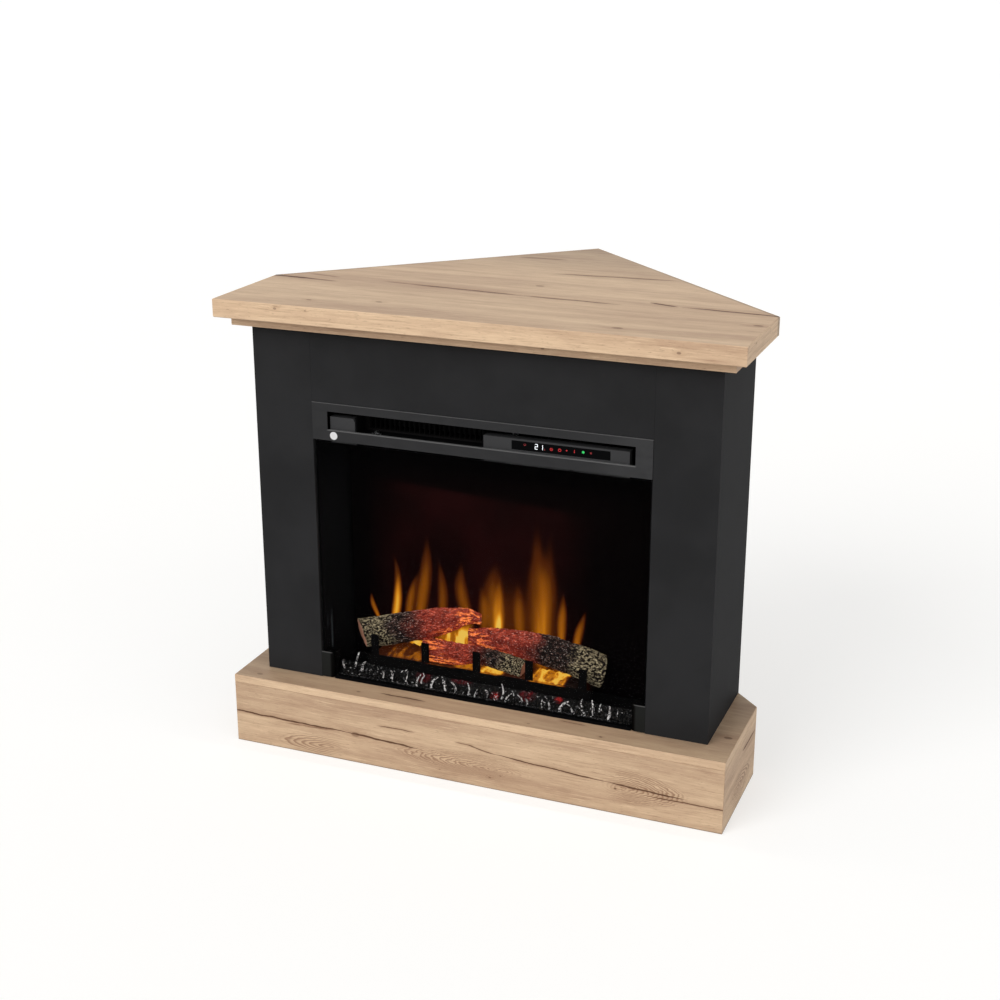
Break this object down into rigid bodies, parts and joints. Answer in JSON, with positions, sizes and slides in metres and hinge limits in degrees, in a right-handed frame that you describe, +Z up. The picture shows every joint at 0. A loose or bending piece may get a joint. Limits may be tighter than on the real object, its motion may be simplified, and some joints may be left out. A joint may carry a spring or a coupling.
{
  "type": "corner electric fireplace",
  "caption": "Corner fireplace: oak-faced mantel and base on black boards, with an electric fire with logs, flame screen, crystals and fan heater behind its glass.",
  "frame": {"origin": "on the floor, at the centre of the rectangle that the mantel covers", "axes": "+X to the right along the front, +Y from the front to the corner of the room, +Z up"},
  "size_m": [1.1, 0.812, 0.99],
  "materials": {
    "oak": "pale rustic oak with dark cracks and knots, matt lacquer",
    "black_board": "black laminated board, satin",
    "raw_board": "unfinished chipboard",
    "casing": "black powder coat",
    "bezel": "dark grey satin paint",
    "zinc": "zinc-plated sheet",
    "glass": "smoked float glass",
    "plastic": "black moulded plastic, satin",
    "lens": "black acrylic with lit symbols",
    "circuit_board": "green solder mask",
    "aluminium": "bright",
    "ceramic": "unglazed",
    "screen": "dark acrylic with the flames shining through",
    "ember": "orange resin, lit from below",
    "bark": "moulded resin painted as bark",
    "crystal": "clear acrylic chips"
  },
  "bodies": {
    "fireplace": {"mantel_top": "oak", "mantel_moulding": "oak", "header_panel": "black_board", "left_leg_panel": "black_board", "right_leg_panel": "black_board", "left_side_panel": "black_board", "right_side_panel": "black_board", "rear_post_left": "raw_board", "rear_post_right": "raw_board", "upper_stretcher": "raw_board", "lower_stretcher": "raw_board", "base_top": "oak", "base_front_board": "oak", "base_left_board": "oak", "base_right_board": "oak", "base_rear_left_board": "raw_board", "base_rear_right_board": "raw_board", "base_centre_rib": "raw_board", "floor_pan": "casing", "casing_left_wall": "casing", "casing_right_wall": "casing", "back_panel": "casing", "casing_lid": "casing", "heater_deck": "casing", "front_bezel": "bezel", "front_glass": "glass", "glass_rail": "casing", "glass_clip_left": "zinc", "glass_clip_right": "zinc", "slot_cover": "plastic", "control_housing": "plastic", "display_lens": "lens", "control_board": "circuit_board", "outlet_duct": "zinc", "heating_element": "ceramic", "limit_thermostat": "aluminium", "fan_housing": "zinc", "fan_bearing": "plastic", "fan_motor": "zinc", "flame_screen": "screen", "flame_stencil": "zinc", "rotor_bearing": "plastic", "rotor_motor": "zinc", "flame_lamp_strip": "ceramic", "ember_lamp_strip": "ceramic", "ember_bed": "ember", "log_left": "bark", "log_right": "bark", "log_front": "bark", "fire_grate": "casing", "crystal_tray": "casing", "crystal_bed": "crystal", "end_block_left": "plastic", "end_block_right": "plastic", "cable_gland": "plastic", "fixing_bracket_left": "zinc", "fixing_bracket_right": "zinc"},
    "rotor": {"flicker_rotor": "aluminium"},
    "fan": {"fan_wheel": "aluminium"}
  },
  "joints": [
    {"name": "rotor_spin", "type": "hinge", "parent": "fireplace", "child": "rotor", "pos_m": [0, -0.163, 0.218], "axis": [1, 0, 0], "continuous": true},
    {"name": "fan_spin", "type": "hinge", "parent": "fireplace", "child": "fan", "pos_m": [-0.1285, -0.224, 0.73525], "axis": [1, 0, 0], "continuous": true}
  ]
}
